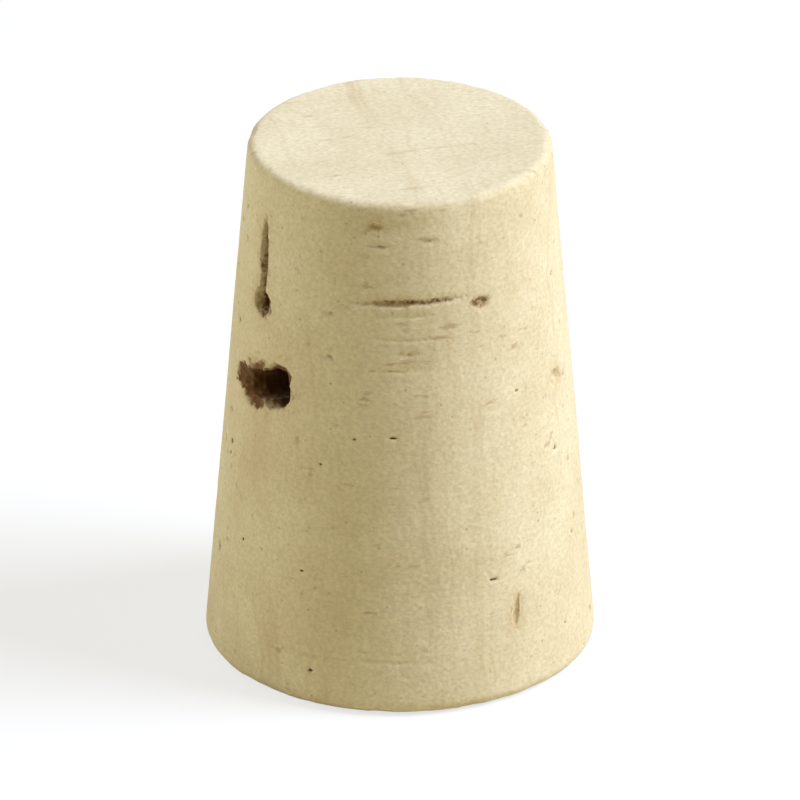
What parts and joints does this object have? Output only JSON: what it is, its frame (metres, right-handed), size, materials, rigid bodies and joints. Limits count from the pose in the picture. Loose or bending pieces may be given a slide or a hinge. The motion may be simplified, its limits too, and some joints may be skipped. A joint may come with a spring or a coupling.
{
  "type": "cork stopper",
  "caption": "Tapered natural cork stopper with flat ends, eased rims and open lenticel pores and streaks, pushed into a round mouth to close it.",
  "frame": {"origin": "centre of the big end's flat face, on which the stopper stands", "axes": "+Z along the stopper's axis from the big end to the small end, -Y towards the side that the picture shows"},
  "size_m": [0.013, 0.013, 0.018],
  "materials": {
    "cork": "dry ground natural cork, matte, with dark brown lenticels"
  },
  "bodies": {
    "root": {"stopper": "cork"}
  },
  "joints": []
}
